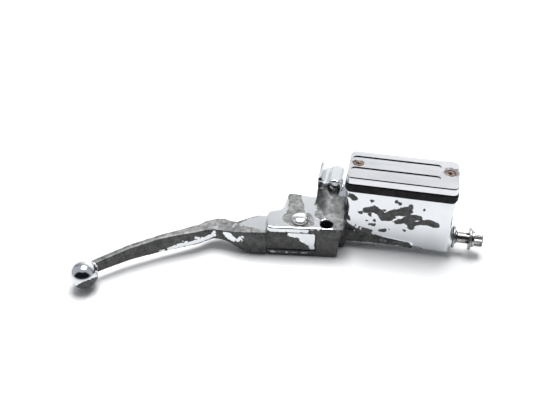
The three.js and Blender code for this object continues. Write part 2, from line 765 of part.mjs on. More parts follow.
// ---------------------------------------------------------------- pivot bolt and nut
function makePivotBolt() {
  const seat = forkTopZ + GAP / 2;
  const tip = forkBottomZ + 0.4;
  const profile = [
    [0, tip],
    [pivotShankR - 1.2, tip],
    [pivotShankR - 0.9, tip + 0.4],
    [pivotShankR - 0.9, forkBottomZ + nutHeight + GAP],
    [pivotShankR, forkBottomZ + nutHeight + GAP + 0.1],
    [pivotShankR, seat],
    [pivotHeadR - 0.2, seat],
    [pivotHeadR, seat + 0.3],
    [pivotHeadR, seat + pivotHeadRim],
  ];
  for (let i = 1; i <= 6; i += 1) {
    const a = (i / 6) * (Math.PI / 2);
    profile.push([pivotHeadR * Math.cos(a), seat + pivotHeadRim + pivotHeadRise * Math.sin(a)]);
  }
  profile[profile.length - 1][0] = 0;
  return turnedZ(profile, pivotX, pivotY);
}
addPart('pivot_bolt', makePivotBolt(), 'chrome');

function makePivotNut() {
  const g = new THREE.CylinderGeometry(nutAcross / Math.sqrt(3), nutAcross / Math.sqrt(3), nutHeight - 0.3, 6);
  g.rotateX(Math.PI / 2);
  g.translate(pivotX, pivotY, forkBottomZ + 0.2 + (nutHeight - 0.3) / 2);
  return cutBy(solidOf(g), rodZ(pivotX, pivotY, pivotShankR - 0.9 + RUN, -40, 20, 32));
}
addPart('pivot_nut', makePivotNut(), 'zinc');

// ---------------------------------------------------------------- piston train
addPart('piston', turnedX([
  [0, rodEndX],
  [rodR - 0.5, rodEndX],
  [rodR, rodEndX + 0.5],
  [rodR, rearLandX],
  [landR, rearLandX],
  [landR, waistX],
  [waistR, waistX],
  [waistR, frontLandX],
  [landR, frontLandX],
  [landR, pistonNoseX],
  [noseStubR, pistonNoseX],
  [noseStubR, pistonNoseX + noseLength],
  [0, pistonNoseX + noseLength],
]), 'brushed');

const clipX = boreMouthX + bootSeatDepth + 0.4;
function makeSnapRing() {
  const ring = turnedX([
    [stopSeatR - 1.1, clipX],
    [clipGrooveR - 0.2, clipX],
    [clipGrooveR - 0.2, clipX + clipThickness],
    [stopSeatR - 1.1, clipX + clipThickness],
  ]);
  return cutBy(ring, box(clipX - 2, clipX + 3, boreY - 1.2, boreY + 1.2, boreZ - 9, boreZ));
}
addPart('snap_ring', makeSnapRing(), 'zinc');

const stopRingX = clipX + clipThickness + 0.15;
addPart('piston_stop_washer', turnedX([
  [rodR + RUN, stopRingX],
  [stopSeatR - RUN, stopRingX],
  [stopSeatR - RUN, stopRingX + stopThickness],
  [rodR + RUN, stopRingX + stopThickness],
]), 'zinc');

addPart('secondary_cup', turnedX([
  [waistR + RUN, waistX + GAP],
  [boreR - 0.9, waistX + GAP],
  [boreR - RUN, waistX + GAP + 0.6],
  [boreR - RUN, waistX + GAP + cupLength],
  [boreR - 1.2, waistX + GAP + cupLength],
  [waistR + 0.9, waistX + GAP + 1.3],
  [waistR + RUN, waistX + GAP + 1.3],
]), 'rubber');

addPart('primary_cup', turnedX([
  [noseStubR + RUN, pistonNoseX + GAP],
  [boreR - 0.9, pistonNoseX + GAP],
  [boreR - RUN, pistonNoseX + GAP + 0.6],
  [boreR - RUN, pistonNoseX + GAP + cupLength],
  [boreR - 1.1, pistonNoseX + GAP + cupLength],
  [noseStubR + 1, pistonNoseX + GAP + 1.3],
  [noseStubR + RUN, pistonNoseX + GAP + 1.3],
]), 'rubber');

const seatDiscX = springStartX - 1;
addPart('spring_seat', turnedX([
  [noseStubR + RUN, seatDiscX - 1.5],
  [noseStubR + 1, seatDiscX - 1.5],
  [noseStubR + 1.2, seatDiscX - 0.2],
  [springCoilR + 0.9, seatDiscX - 0.2],
  [springCoilR + 0.9, seatDiscX + 0.6],
  [noseStubR + RUN, seatDiscX + 0.6],
]), 'zinc');

function makeSpring() {
  const length = boreEndX - GAP - springWireR - (seatDiscX + 0.6 + GAP + springWireR);
  const start = seatDiscX + 0.6 + GAP + springWireR;
  class Coil extends THREE.Curve {
    getPoint(t, target = new THREE.Vector3()) {
      const a = t * springTurns * 2 * Math.PI;
      return target.set(start + t * length, springCoilR * Math.cos(a), springCoilR * Math.sin(a));
    }
  }
  const wire = new THREE.Shape();
  const sides = 6;
  for (let i = 0; i < sides; i += 1) {
    const a = (i / sides) * 2 * Math.PI;
    const px = springWireR * Math.cos(a);
    const py = springWireR * Math.sin(a);
    if (i === 0) wire.moveTo(px, py);
    else wire.lineTo(px, py);
  }
  const g = new THREE.ExtrudeGeometry(wire, {
    steps: springTurns * 14, bevelEnabled: false, extrudePath: new Coil(),
  });
  g.translate(0, boreY, boreZ);
  return solidOf(g);
}
addPart('return_spring', makeSpring(), 'zinc');

// ---------------------------------------------------------------- dust boot
const bootRootX = boreMouthX + bootSeatDepth - 0.2;
addPart('dust_boot', turnedX([
  [rodR + 0.9, bootRootX - 1.6],
  [stopSeatR + 0.4, bootRootX - 1.6],
  [stopSeatR + 0.4, bootRootX],
  [bootSeatR - RUN, bootRootX],
  [bootSeatR - RUN, bootRootX - 2.6],
  [6.1, bootRootX - 2.6],
  [5.2, bootRootX - 4],
  [6, bootRootX - 5.3],
  [4.7, bootRootX - 6.6],
  [rodR + RUN, bootRootX - 6.8],
  [rodR + RUN, bootRootX - 5.6],
  [4.4, bootRootX - 5.3],
  [rodR + 0.8, bootRootX - 4],
]), 'rubber');

// ---------------------------------------------------------------- banjo bolt and its washers
function makeWasher(x) {
  const edge = 0.25;
  return turnedX([
    [portThreadR + RUN, x],
    [washerR - edge, x],
    [washerR, x + edge],
    [washerR, x + washerThickness - edge],
    [washerR - edge, x + washerThickness],
    [portThreadR + RUN, x + washerThickness],
  ]);
}
addPart('banjo_washer_inner', makeWasher(washerInnerX), 'copper');
addPart('banjo_washer_outer', makeWasher(washerOuterX), 'copper');

function makeBanjoBolt() {
  const neckX0 = washerInnerX + washerThickness + 1.6;
  const threadX0 = neckX0 - banjoThreadLength;
  const headX = banjoFlangeX + banjoFlangeHeight;
  const profile = [
    [0, threadX0],
    [portThreadR - 0.9, threadX0],
    [portThreadR - RUN, threadX0 + 0.8],
    [portThreadR - RUN, neckX0 - 0.4],
    [banjoNeckR, neckX0 + 0.4],
    [banjoNeckR, banjoFlangeX],
    [banjoFlangeR, banjoFlangeX],
    [banjoFlangeR, headX - 0.4],
    [banjoHeadR, headX],
    [banjoHeadR, headX + banjoHeadHeight - 0.6],
    [banjoHeadR - 0.8, headX + banjoHeadHeight],
    [0, headX + banjoHeadHeight],
  ];
  let bolt = turnedX(profile);
  for (let i = 0; i < banjoFlutes; i += 1) {
    const a = (i / banjoFlutes) * 2 * Math.PI;
    const y = boreY + (banjoHeadR + fluteR / 2) * Math.cos(a);
    const z = boreZ + (banjoHeadR + fluteR / 2) * Math.sin(a);
    bolt = cutBy(bolt, rodX(fluteR, headX + 0.4, headX + banjoHeadHeight + 1, 12, y, z));
  }
  bolt = cutBy(bolt, rodX(banjoCoreR, threadX0 - 1, banjoFlangeX - 1, 20));
  const crossX = banjoFlangeX - 3;
  bolt = cutBy(bolt, rodZ(crossX, boreY, banjoCrossR, boreZ - 8, boreZ + 8, 16));
  bolt = cutBy(bolt, rodY(crossX, boreZ, banjoCrossR, boreY - 8, boreY + 8, 16));
  return bolt;
}
addPart('banjo_bolt', makeBanjoBolt(), 'zinc');

export default assembly;
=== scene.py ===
# %% [markdown]
# # A worn chrome brake master cylinder, laid on a white table
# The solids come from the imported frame: casting, lid, lever, bolts and the parts inside the bore.
# This notebook gives them their finished surfaces. It softens the casting as a foundry would,
# cuts real threads, and lays worn chrome, bare alloy, rubber and rust over them.
# Everything is in metres, in the frame of the part: +X along the bore to the hose, +Y to the
# rider, +Z up, and the origin where the handlebar's centre sits.

# %% Load the frame
import json
import math
import bmesh
import bpy
import numpy as np
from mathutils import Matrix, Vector


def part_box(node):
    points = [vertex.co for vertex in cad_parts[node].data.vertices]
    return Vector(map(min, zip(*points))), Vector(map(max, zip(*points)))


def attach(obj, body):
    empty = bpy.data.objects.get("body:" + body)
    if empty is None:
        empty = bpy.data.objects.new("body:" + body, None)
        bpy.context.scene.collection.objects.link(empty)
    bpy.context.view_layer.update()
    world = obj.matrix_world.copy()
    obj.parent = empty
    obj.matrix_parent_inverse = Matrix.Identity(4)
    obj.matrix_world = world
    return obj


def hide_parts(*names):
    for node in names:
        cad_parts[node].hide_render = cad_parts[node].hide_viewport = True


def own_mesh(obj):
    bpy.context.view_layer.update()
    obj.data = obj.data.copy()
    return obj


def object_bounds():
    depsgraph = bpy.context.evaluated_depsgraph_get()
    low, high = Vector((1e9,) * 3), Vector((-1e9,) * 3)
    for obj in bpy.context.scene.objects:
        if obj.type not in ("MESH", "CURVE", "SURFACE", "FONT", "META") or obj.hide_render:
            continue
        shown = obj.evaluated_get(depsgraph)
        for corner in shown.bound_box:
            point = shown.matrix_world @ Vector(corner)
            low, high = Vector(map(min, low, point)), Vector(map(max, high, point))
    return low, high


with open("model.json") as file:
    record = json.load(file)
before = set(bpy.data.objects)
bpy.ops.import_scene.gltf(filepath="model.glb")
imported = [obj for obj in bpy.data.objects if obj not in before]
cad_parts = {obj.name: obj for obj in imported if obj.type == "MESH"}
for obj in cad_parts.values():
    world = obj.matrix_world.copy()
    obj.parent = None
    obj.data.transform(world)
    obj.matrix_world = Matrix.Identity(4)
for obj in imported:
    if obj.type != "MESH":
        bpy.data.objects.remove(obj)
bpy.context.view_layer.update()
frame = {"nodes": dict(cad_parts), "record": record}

nodes = frame["nodes"]
MM = 0.001
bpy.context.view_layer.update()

# %% [markdown]
# ## A small kit for shaders
# Each finish is a node tree. These helpers add a node, wire it and set plain values, so that each
# recipe below reads as the layers a plater or a painter would name.

# %% Shader helpers
class Finish:
    """One material under construction: add nodes, wire them, end with a surface."""

    def __init__(self, name):
        self.material = bpy.data.materials.new(name)
        self.material.use_nodes = True
        self.tree = self.material.node_tree
        self.tree.nodes.clear()
        self.output = self.tree.nodes.new("ShaderNodeOutputMaterial")
        self.place = self.tree.nodes.new("ShaderNodeTexCoord").outputs["Object"]

    def node(self, kind, **settings):
        made = self.tree.nodes.new(kind)
        for key, value in settings.items():
            setattr(made, key, value)
        return made

    def put(self, socket, value):
        if isinstance(value, bpy.types.NodeSocket):
            self.tree.links.new(value, socket)
        else:
            socket.default_value = value

    def math(self, operation, a, b=0.0, clamp=False):
        step = self.node("ShaderNodeMath", operation=operation, use_clamp=clamp)
        self.put(step.inputs[0], a)
        self.put(step.inputs[1], b)
        return step.outputs[0]

    def stretch(self, scale, place=None):
        step = self.node("ShaderNodeMapping")
        self.put(step.inputs["Vector"], place or self.place)
        self.put(step.inputs["Scale"], scale)
        return step.outputs["Vector"]

    def noise(self, scale, detail=3.0, rough=0.5, place=None):
        step = self.node("ShaderNodeTexNoise")
        self.put(step.inputs["Vector"], place or self.place)
        self.put(step.inputs["Scale"], scale)
        self.put(step.inputs["Detail"], detail)
        self.put(step.inputs["Roughness"], rough)
        return step.outputs["Fac"]

    def ramp(self, fac, stops):
        step = self.node("ShaderNodeValToRGB")
        band = step.color_ramp
        while len(band.elements) < len(stops):
            band.elements.new(0.5)
        for element, (position, colour) in zip(band.elements, stops):
            element.position = position
            element.color = grey(colour) if isinstance(colour, (int, float)) else (*colour, 1)
        self.put(step.inputs["Fac"], fac)
        return step.outputs["Color"]

    def mix(self, fac, a, b):
        step = self.node("ShaderNodeMix", data_type="RGBA")
        self.put(step.inputs[0], fac)
        self.put(step.inputs[6], a)
        self.put(step.inputs[7], b)
        return step.outputs[2]

    def bump(self, height, distance, strength=1.0, normal=None):
        step = self.node("ShaderNodeBump")
        self.put(step.inputs["Height"], height)
        self.put(step.inputs["Distance"], distance)
        self.put(step.inputs["Strength"], strength)
        if normal is not None:
            self.put(step.inputs["Normal"], normal)
        return step.outputs["Normal"]

    def surface(self, **sockets):
        shader = self.node("ShaderNodeBsdfPrincipled")
        for key, value in sockets.items():
            self.put(shader.inputs[key.replace("_", " ")], value)
        self.tree.links.new(shader.outputs["BSDF"], self.output.inputs["Surface"])
        return self.material


def grey(v):
    return (v, v, v, 1)


# %% [markdown]
# ## Softening a casting
# A die casting has no knife edges: inside corners are filled and outside corners rounded, because
# liquid metal and polishing both hate sharp ones. Rebuilding the solid as fine even cells and
# relaxing them gives both at once, everywhere, without moving any flat face. The result is a new
# skin that stands for the solid and is close-meshed enough to carry a map of its wear.

# %% Cast skins
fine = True


def cast_skin(node, body, cell, passes):
    """A finely meshed skin of a solid, with every edge softened."""
    piece = nodes[node]
    rebuilt = piece.modifiers.new("even cells", "REMESH")
    rebuilt.mode = "VOXEL"
    rebuilt.voxel_size = cell
    rebuilt.use_smooth_shade = True
    relaxed = piece.modifiers.new("relaxed corners", "SMOOTH")
    relaxed.factor = 0.5
    relaxed.iterations = passes
    shaped = piece.evaluated_get(bpy.context.evaluated_depsgraph_get())
    skin = bpy.data.objects.new(node + "_skin", bpy.data.meshes.new_from_object(shaped))
    piece.modifiers.clear()
    bpy.context.scene.collection.objects.link(skin)
    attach(skin, body)
    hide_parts(node)
    skin.data.materials.clear()
    print(skin.name, len(skin.data.vertices), "points")
    return skin


body_skin = cast_skin("cylinder_body", "cylinder", 0.00045 if fine else 0.0007, 7 if fine else 4)
lever_skin = cast_skin("brake_lever", "lever", 0.0005 if fine else 0.0007, 10 if fine else 6)

# %% [markdown]
# ## Where the plating has flaked
# Chrome on a die casting blisters and lets go in islands and tears with ragged edges. Each tear
# is drawn as a chain of discs in millimetres, as a person would mark up the part: a run of
# points with a half width at each. The skin stores how far each of its points lies from the
# nearest tear, and the shader breaks that smooth edge up with noise.

# %% Wear map
def distance_to_run(place, run, across, reach):
    """Millimetres from each place to a chain of discs, less than 0 inside. The chain is flat in
    the plane of the two axes in `across`; `reach` limits it along the third axis."""
    i, j = across
    best = np.full(len(place), 99.0)
    ends = list(zip(run, run[1:])) if len(run) > 1 else [(run[0], run[0])]
    for (ax, ay, ar), (bx, by, br) in ends:
        dx, dy = bx - ax, by - ay
        length = dx * dx + dy * dy
        along = ((place[:, i] - ax) * dx + (place[:, j] - ay) * dy) / length if length else 0
        along = np.clip(along, 0, 1)
        gap = np.hypot(place[:, i] - ax - along * dx, place[:, j] - ay - along * dy)
        best = np.minimum(best, gap - (ar + along * (br - ar)))
    k = 3 - i - j
    outside = np.maximum(reach[0] - place[:, k], place[:, k] - reach[1])
    return np.maximum(best, outside)


def distance_to_slab(place, low, high):
    """Millimetres outside a box given by its corners, less than 0 inside."""
    return np.maximum(np.array(low) - place, place - np.array(high)).max(axis=1)


def store_wear(skin, distances, name="wear"):
    nearest = np.minimum.reduce(distances)
    layer = skin.data.attributes.new(name, "FLOAT", "POINT")
    layer.data.foreach_set("value", np.clip(nearest, -8, 8).astype(np.float32))
    print(skin.name, name, "covers", round(float((nearest < 0).mean()) * 100), "% of its points")


def places(skin):
    flat = np.empty(len(skin.data.vertices) * 3)
    skin.data.vertices.foreach_get("co", flat)
    return flat.reshape(-1, 3) / MM


# %% [markdown]
# ### Tears on the casting
# The front wall of the reservoir carries two long ribbons and a scatter of chips. On top, the
# plating is gone round the pivot bolt and all the way up the neck to the clamp. The root of the
# fork, the hollow under the wall and the underside are bare.

# %% Tears on the reservoir's front wall
wall_tears = [
    [(13.6, 23.0, 1.5), (16.6, 21.0, 1.7)],
    [(24.8, 11.6, 1.7), (30.4, 13.4, 2.7), (34.4, 11.4, 2.3), (37.4, 8.0, 2.5),
     (43.2, 11.8, 2.6), (48.5, 13.8, 3.2), (53.4, 15.4, 3.2)],
    [(54.2, 16.5, 2.0), (55.2, 21.0, 0.5)],
    [(28.1, 8.4, 1.2)],
    [(36.4, 6.4, 1.7), (40.5, 6.4, 1.9), (44.0, 9.0, 1.6)],
    [(45.2, 22.3, 1.1), (47.2, 21.2, 1.3)],
    [(45.8, 4.4, 1.3), (48.6, 5.2, 1.8), (52.0, 7.0, 1.8), (57.0, 10.2, 2.5), (61.6, 10.6, 1.9)],
    [(53.4, 6.4, 1.8), (56.8, 4.6, 2.4), (57.4, 1.4, 1.9)],
    [(58.2, 5.4, 1.6), (61.0, 5.4, 1.9), (65.0, 7.4, 1.9), (69.4, 7.6, 2.3), (73.2, 6.2, 2.2)],
    [(10.2, 7.0, 1.5), (11.8, 4.6, 1.5), (14.0, 1.6, 0.5)],
    [(24.6, -5.8, 1.3), (28.8, -6.4, 1.6)],
    [(28.0, -0.6, 0.5), (31.4, -0.1, 0.8)],
    [(36.4, -4.8, 0.9), (39.2, -4.2, 1.4)],
    [(20.4, 9.1, 0.5), (21.6, 9.5, 0.6)],
    [(52.0, -13.6, 0.8), (57.0, -14.6, 1.5), (60.0, -16.4, 1.0), (66.0, -17.0, 0.3)],
    [(10.0, -1.5, 1.2), (16.5, -5.2, 1.2), (24.0, -8.8, 1.2), (33.0, -10.4, 0.9),
     (44.0, -12.6, 0.6), (54.0, -14.2, 0.6)],
]
chips = [
    (28.5, 20.4, 0.7), (64.0, 18.4, 0.8), (31.6, 3.8, 0.8), (26.3, 2.5, 0.5), (42.3, -2.9, 0.5),
    (52.9, -2.2, 1.0), (21.2, -4.3, 0.6), (17.5, -4.7, 0.8), (37.6, 13.6, 0.5), (18.6, -2.6, 0.4),
]
wall_tears += [[chip] for chip in chips]

place = places(body_skin)
wall = [distance_to_run(place, run, (0, 2), (-40, -33.5)) - 0.45 for run in wall_tears]
print("tears on the front wall:", len(wall_tears))

# %% Bare areas on the fork, the neck and the clamp
top_tears = [
    [(-28.5, -19.0, 5.0), (-27.0, -26.0, 4.8), (-25.0, -33.0, 6.2)],
    [(-24.0, -38.0, 6.4), (-26.5, -46.0, 5.8), (-22.0, -50.0, 4.8), (-15.0, -51.0, 2.6)],
    [(-15.0, -40.0, 2.2), (-11.8, -46.0, 2.2), (-10.8, -49.5, 1.5)],
    [(-12.5, -27.5, 0.8), (-6.0, -28.0, 3.2)],
    [(-9.0, -23.0, 3.4), (-7.6, -29.0, 3.2), (-5.6, -36.0, 2.2)],
    [(-8.2, -36.0, 2.6), (-7.8, -39.5, 2.6), (-5.4, -41.5, 1.8)],
    [(3.0, -24.0, 9.5), (3.6, -33.0, 9.4), (5.2, -42.0, 7.6), (7.4, -47.0, 5.0)],
    [(3.0, -50.8, 1.0), (8.0, -50.6, 1.6)],
]
boss_tears = [
    [(-6.6, 15.6, 0.5), (-4.4, 16.6, 0.9), (-4.6, 13.8, 0.4)],
    [(4.6, 14.0, 0.8), (6.2, 17.4, 0.8)],
    [(-8.6, 12.6, 0.6), (-7.4, 10.2, 1.0)],
]
bare = list(wall)
bare += [distance_to_run(place, run, (0, 1), (3.0, 14)) for run in top_tears]
bare += [distance_to_run(place, run, (0, 2), (-23, -16)) for run in boss_tears]
slabs = [
    ((-13, -60, -30), (11, -50.6, 3.0)),
    ((-60, -60, -18.4), (-12, -10, 0.2)),
    ((-60, -70, -40), (12, -10, -18.9)),
    ((-7.4, -52, -22), (12, -36.8, 2.4)),
    ((-5.5, -30, 4.4), (9.5, -16.5, 13.2)),
    ((-12, -27, 4.8), (9.5, -16.5, 11.6)),
    ((-12.6, -30, 4.4), (-11.2, 2, 24)),
    ((-13, -16.2, -30), (9.3, 2, 12)),
]
bare += [distance_to_slab(place, low, high) for low, high in slabs]
lip = np.interp(place[:, 0], (9.6, 18.2, 39.6, 66.0), (-1.9, -8.4, -12.2, -16.4))
lip_foot = np.interp(place[:, 0], (9.6, 18.2, 39.6, 66.0), (-16.4, -15.8, -15.8, -17.0))
under_lip = np.maximum(place[:, 2] - lip, lip_foot - place[:, 2])
beside = np.maximum(8.0 - place[:, 0], place[:, 0] - 62.0)
bare.append(np.maximum.reduce([under_lip * 0.9, beside, place[:, 1] + 20]))
store_wear(body_skin, bare)

# %% [markdown]
# ### What is left on the lever
# On the lever it is the other way about: a hand has worn and peeled most of the plating, and only
# scraps are left. Chrome stays on the ball, on top of the root, round the bend, and in a ragged
# strip along the lower edge of the blade.

# %% Scraps of plating on the lever
lever_place = places(lever_skin)
top_scraps = [
    [(-46.0, -49.0, 8.6), (-54.0, -50.0, 5.0), (-60.0, -52.0, 2.4)],
    [(-66.5, -54.4, 1.2), (-65.0, -52.0, 0.9)],
    [(-70.5, -51.0, 0.5)],
    [(-80.0, -57.0, 0.9), (-78.0, -56.0, 1.1)],
]
front_scraps = [
    [(-71.6, -6.6, 1.2), (-68.6, -8.0, 2.9), (-65.4, -9.6, 2.4)],
    [(-61.6, -10.4, 1.5), (-60.0, -7.4, 1.0), (-58.8, -9.6, 0.8)],
    [(-58.2, -6.2, 1.0)],
    [(-79.2, -6.4, 1.2), (-80.2, -9.8, 1.6), (-84.6, -11.4, 1.5), (-89.6, -11.6, 2.1),
     (-96.0, -12.4, 1.7), (-101.0, -12.6, 2.0), (-107.6, -13.6, 1.6)],
    [(-89.4, -9.4, 1.1), (-91.4, -7.6, 0.7)],
    [(-97.4, -10.8, 1.0), (-99.2, -9.2, 0.6)],
    [(-111.5, -14.0, 1.1), (-113.2, -13.9, 0.9)],
    [(-25.0, -2.6, 1.8), (-16.0, -3.6, 3.0), (-10.0, -5.0, 3.4)],
    [(-17.6, -6.2, 1.5), (-16.8, -8.4, 1.0)],
    [(-15.0, -6.6, 2.0), (-11.8, -10.0, 2.4)],
    [(-10.6, -9.0, 2.4), (-9.8, -14.4, 1.9)],
]
left = [distance_to_run(lever_place, run, (0, 1), (-6, 2)) for run in top_scraps]
left += [distance_to_run(lever_place, run, (0, 2), (-120, -30)) for run in front_scraps]
from_ball = lever_place - np.array([-155.4, -114.2, -11.2])
ball = np.linalg.norm(from_ball, axis=1) - 10.2
worn_under = from_ball @ np.array([0.50, -0.53, -0.66]) - 5.0
left.append(np.maximum(ball, worn_under))
store_wear(lever_skin, left)

# %% [markdown]
# ## Chrome over a bare casting
# Two metals in one recipe. The plating is bright and nearly smooth, with a faint ripple. The bare
# metal under it is a dark grey die casting: rough, pitted and mottled with oxide. The mask says
# which one shows, and the same mask is the height map, so the plating stands a hair proud.

# %% Chrome and casting
def chrome_over_casting(name, bare_inside, dark=0.038, light=0.105, bright=0.06):
    """Bare casting where the wear map is below 0 (or above, for scraps of plating on it).
    Bare metal that faces up is painted lighter: painted light from above, not a colour of its own."""
    f = Finish(name)
    wear_map = f.node("ShaderNodeAttribute", attribute_name="wear").outputs["Fac"]
    torn = f.math("SUBTRACT", f.noise(420, 6, 0.68), 0.5)
    broad = f.math("SUBTRACT", f.noise(95, 2, 0.5), 0.5)
    ragged = f.math("ADD", f.math("MULTIPLY", torn, 4.4), f.math("MULTIPLY", broad, 1.6))
    edge = f.math("ADD", wear_map, ragged)
    inside = f.math("ADD", f.math("MULTIPLY", edge, -9.0), 0.5, clamp=True)
    bare = inside if bare_inside else f.math("SUBTRACT", 1.0, inside)
    blotch = f.noise(240, 5, 0.65)
    grain = f.noise(1900, 3, 0.6)
    axes = f.node("ShaderNodeSeparateXYZ")
    f.put(axes.inputs[0], f.node("ShaderNodeTexCoord").outputs["Normal"])
    # Painted top light: the bare colour is made lighter where the surface faces up, as the overhead
    # light would show it.
    up = f.math("MULTIPLY", f.math("SUBTRACT", axes.outputs["Z"], 0.35), 2.2, clamp=True)
    shaded = f.ramp(blotch, [(0.34, dark), (0.68, light)])
    painted_top_light = f.ramp(blotch, [(0.34, dark * 2.0), (0.68, light * 2.7)])
    mottle_and_top_light = f.mix(up, shaded, painted_top_light)
    speck = f.ramp(f.noise(1250, 2, 0.5), [(0.58, 0.0), (0.72, 0.55)])
    bare_colour = f.mix(speck, mottle_and_top_light, grey(min(1.0, light * 1.9)))
    plating = f.ramp(f.noise(40, 2, 0.5), [(0.3, (0.62, 0.64, 0.66)), (0.7, (0.70, 0.72, 0.74))])
    colour = f.mix(bare, plating, bare_colour)
    bare_rough = f.ramp(grain, [(0.3, 0.42), (0.7, 0.62)])
    haze = f.ramp(f.noise(70, 4, 0.6), [(0.4, bright), (0.75, bright + 0.10)])
    rough = f.mix(bare, haze, bare_rough)
    step = f.bump(f.math("SUBTRACT", 1.0, bare), 0.00014, 0.45)
    relief = f.bump(f.math("MULTIPLY", grain, bare), 0.00020, 0.55, step)
    wave = f.bump(f.noise(42, 2, 0.5), 0.0005, 0.10, relief)
    metal = f.math("SUBTRACT", 1.0, f.math("MULTIPLY", bare, 0.35))
    return f.surface(Base_Color=colour, Metallic=metal, Roughness=rough, Normal=wave)


body_skin.data.materials.append(chrome_over_casting("flaked chrome", True))
lever_skin.data.materials.append(chrome_over_casting("worn lever", False))

# %% [markdown]
# ## Brushed lid
# The lid is machined and lightly brushed along its length, so its highlight spreads across the
# grain. The noise is stretched fifty times along X to make the scratches.

# %% Lid
def spot(f, middle, half):
    """0 at the middle of an ellipse, 1 at its rim."""
    step = f.node("ShaderNodeMapping", vector_type="TEXTURE")
    f.put(step.inputs["Vector"], f.place)
    f.put(step.inputs["Location"], [v * MM for v in middle])
    f.put(step.inputs["Scale"], [v * MM for v in half])
    length = f.node("ShaderNodeVectorMath", operation="LENGTH")
    f.put(length.inputs[0], step.outputs["Vector"])
    return length.outputs["Value"]


def brushed(name, tone=0.65, rough=0.09):
    f = Finish(name)
    strokes = f.noise(1100, 4, 0.6, f.stretch((0.02, 1, 1)))
    cloud = f.noise(26, 4, 0.6, f.stretch((0.35, 1, 1)))
    peel = f.math("MINIMUM", spot(f, (79.8, -16.6, 38), (6.6, 6.6, 3)),
                  spot(f, (15.4, -17.8, 38), (4.6, 3.2, 3)))
    torn = f.math("MULTIPLY", f.math("SUBTRACT", f.noise(420, 5, 0.62), 0.5), 2.6)
    bare = f.math("MULTIPLY", f.math("SUBTRACT", f.math("ADD", 0.86, torn), peel), 7.0, clamp=True)
    colour = f.ramp(cloud, [(0.36, (tone * 0.82, tone * 0.84, tone * 0.88)),
                            (0.66, (tone * 1.12, tone * 1.12, tone * 1.14))])
    colour = f.mix(bare, colour, grey(0.17))
    roughness = f.ramp(strokes, [(0.25, rough - 0.04), (0.75, rough + 0.12)])
    roughness = f.mix(bare, roughness, grey(0.5))
    normal = f.bump(strokes, 0.00004, 0.20)
    return f.surface(Base_Color=colour, Metallic=1.0, Roughness=roughness, Normal=normal)


def wear(node, material):
    nodes[node].data.materials.clear()
    nodes[node].data.materials.append(material)


def shade_by_angle(piece, degrees=32):
    for face in piece.data.polygons:
        face.use_smooth = True
    edges = bmesh.new()
    edges.from_mesh(piece.data)
    limit = math.radians(degrees)
    for edge in edges.edges:
        edge.smooth = len(edge.link_faces) == 2 and edge.calc_face_angle(0) < limit
    edges.to_mesh(piece.data)
    edges.free()


def round_edges(node, width, segments=2):
    bevel = nodes[node].modifiers.new("broken edges", "BEVEL")
    bevel.width = width
    bevel.segments = segments
    bevel.limit_method = "ANGLE"
    bevel.angle_limit = math.radians(40)
    bevel.harden_normals = False
    return bevel


wear("reservoir_cover", brushed("brushed lid"))

# %% [markdown]
# ## Rubber, plated steel, rust, bronze and glass
# Small parts carry their own finishes. Rubber is dull with a dusty bloom. Zinc plate is a soft
# grey with a yellow cast. The lid screws have rusted in their recesses.

# %% Small-part finishes
def rubber(name="black rubber"):
    f = Finish(name)
    bloom = f.noise(220, 4, 0.6)
    colour = f.ramp(bloom, [(0.4, (0.006, 0.006, 0.007)), (0.8, (0.022, 0.022, 0.023))])
    normal = f.bump(f.noise(1400, 2, 0.5), 0.00005, 0.4)
    return f.surface(
        Base_Color=colour, Metallic=0.0, Roughness=0.6, Normal=normal, Specular_IOR_Level=0.15,
    )


def plated(name, low, high, rough=0.34):
    f = Finish(name)
    cloud = f.noise(260, 4, 0.6)
    colour = f.ramp(cloud, [(0.35, low), (0.7, high)])
    roughness = f.ramp(f.noise(500, 3, 0.5), [(0.3, rough), (0.8, rough + 0.2)])
    normal = f.bump(f.noise(1800, 2, 0.5), 0.00004, 0.4)
    return f.surface(Base_Color=colour, Metallic=1.0, Roughness=roughness, Normal=normal)


def rusty(name="rusty screw"):
    f = Finish(name)
    scab = f.noise(900, 5, 0.65)
    rust = f.ramp(scab, [(0.46, 1.0), (0.64, 0.0)])
    red = f.ramp(f.noise(1600, 3, 0.6), [(0.3, (0.035, 0.017, 0.010)), (0.7, (0.16, 0.075, 0.038))])
    colour = f.mix(rust, (0.40, 0.37, 0.33, 1), red)
    metal = f.math("SUBTRACT", 1.0, rust)
    roughness = f.mix(rust, grey(0.35), grey(0.85))
    normal = f.bump(scab, 0.00012, 0.7)
    return f.surface(Base_Color=colour, Metallic=metal, Roughness=roughness, Normal=normal)


def plain_chrome(name="bright chrome"):
    f = Finish(name)
    haze = f.ramp(f.noise(120, 3, 0.6), [(0.4, 0.06), (0.8, 0.16)])
    return f.surface(Base_Color=grey(0.86), Metallic=1.0, Roughness=haze)


def glass(name="sight glass"):
    f = Finish(name)
    smear = f.ramp(f.noise(200, 3, 0.5), [(0.4, 0.03), (0.8, 0.12)])
    return f.surface(
        Base_Color=(0.86, 0.92, 0.88, 1), Metallic=0.0, Roughness=smear,
        Transmission_Weight=0.9, IOR=1.49,
    )


def plastic(name="moulded plastic"):
    f = Finish(name)
    colour = f.ramp(f.noise(90, 3, 0.5), [(0.3, (0.55, 0.52, 0.44)), (0.7, (0.64, 0.61, 0.53))])
    normal = f.bump(f.noise(900, 2, 0.5), 0.00006, 0.4)
    return f.surface(Base_Color=colour, Metallic=0.0, Roughness=0.45, Normal=normal)


